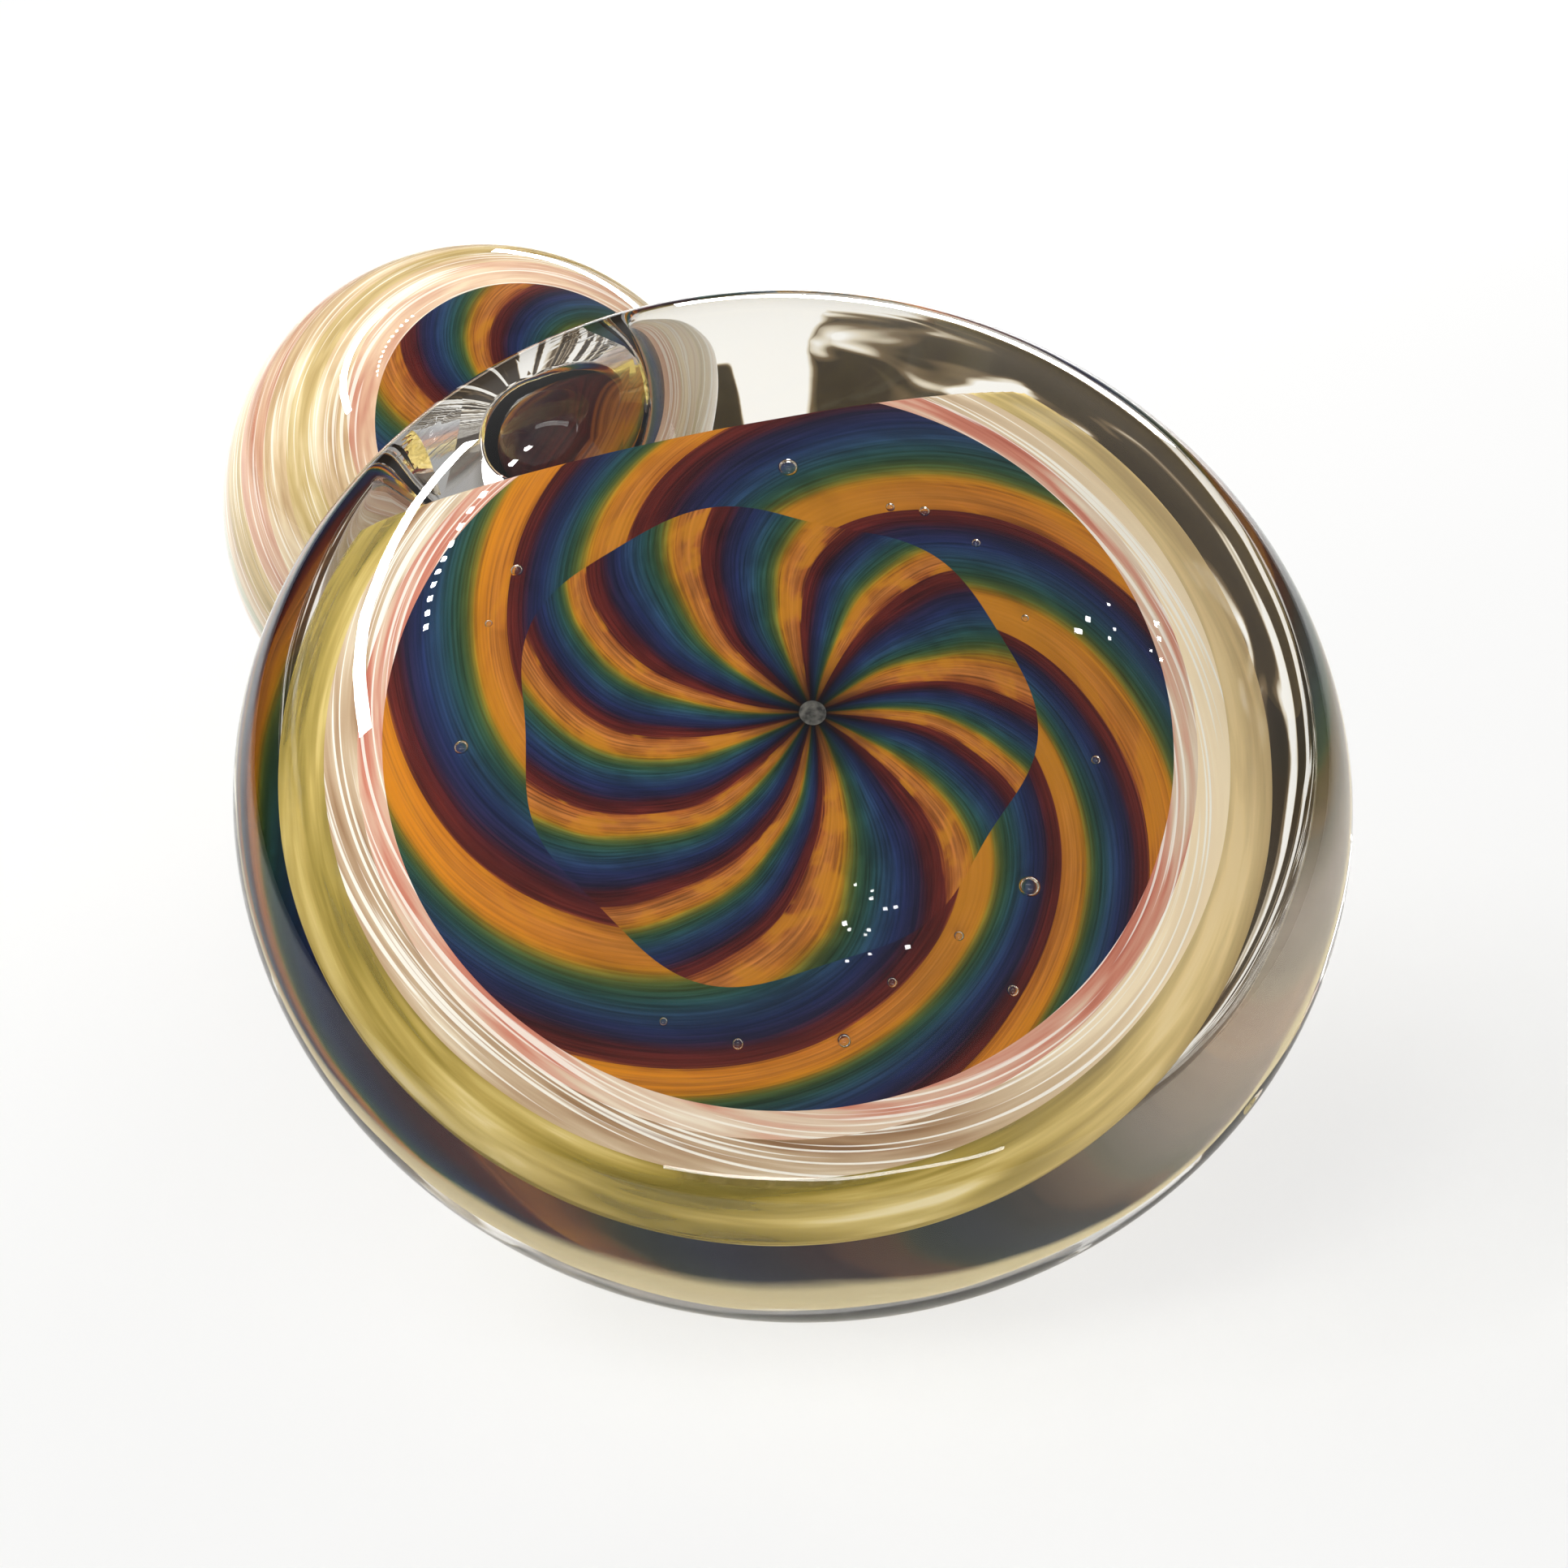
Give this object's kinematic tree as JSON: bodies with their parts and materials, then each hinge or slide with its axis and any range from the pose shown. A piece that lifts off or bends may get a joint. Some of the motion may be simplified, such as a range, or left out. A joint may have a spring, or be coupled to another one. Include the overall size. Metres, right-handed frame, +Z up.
{
  "type": "paperweight",
  "caption": "Hot-worked glass paperweight: a lens-shaped face lobe with a rainbow pinwheel under clear glass, propped by a smaller striped ball lobe.",
  "frame": {"origin": "centre of the ground flat under the face lobe, on the surface the paperweight stands on", "axes": "+Z up; the face lobe looks up and towards -Y; +X to the right of a reader facing it"},
  "size_m": [0.082, 0.0977, 0.0473],
  "materials": {
    "clear_glass": "clear fire-polished borosilicate",
    "straw_fume": "silver-fumed straw-yellow streaked glass",
    "cream_glass": "cream opal glass with fine streaks",
    "pink_glass": "pale pink opal glass with fine streaks",
    "pale_green_glass": "pale green opal glass with fine streaks",
    "silver_seed": "silver-grey seed glass",
    "orange_cane": "orange-amber cane, streaky",
    "green_cane": "olive to green cane, streaky",
    "blue_cane": "teal to blue cane, streaky",
    "navy_cane": "navy cane, streaky",
    "maroon_cane": "dark red-brown cane, streaky"
  },
  "bodies": {
    "root": {"clear_heart": "clear_glass", "straw_fume_cup": "straw_fume", "cream_lining_band": "cream_glass", "pink_lining_band": "pink_glass", "pole_seed": "silver_seed", "face_front_casing": "clear_glass", "face_back_casing": "clear_glass", "inner_orange_canes": "orange_cane", "inner_green_canes": "green_cane", "inner_blue_canes": "blue_cane", "inner_navy_canes": "navy_cane", "inner_maroon_canes": "maroon_cane", "outer_orange_canes": "orange_cane", "outer_green_canes": "green_cane", "outer_blue_canes": "blue_cane", "outer_navy_canes": "navy_cane", "outer_maroon_canes": "maroon_cane", "back_orange_canes": "orange_cane", "back_green_canes": "green_cane", "back_blue_canes": "blue_cane", "back_navy_canes": "navy_cane", "back_maroon_canes": "maroon_cane", "back_seed": "silver_seed", "ball_casing": "clear_glass", "ball_heart": "clear_glass", "ball_seed": "silver_seed", "ball_pink_bands": "pink_glass", "ball_cream_bands": "cream_glass", "ball_straw_bands": "straw_fume", "ball_green_bands": "pale_green_glass", "ball_orange_canes": "orange_cane", "ball_green_canes": "green_cane", "ball_blue_canes": "blue_cane", "ball_navy_canes": "navy_cane", "ball_maroon_canes": "maroon_cane", "clear_neck": "clear_glass"}
  },
  "joints": []
}
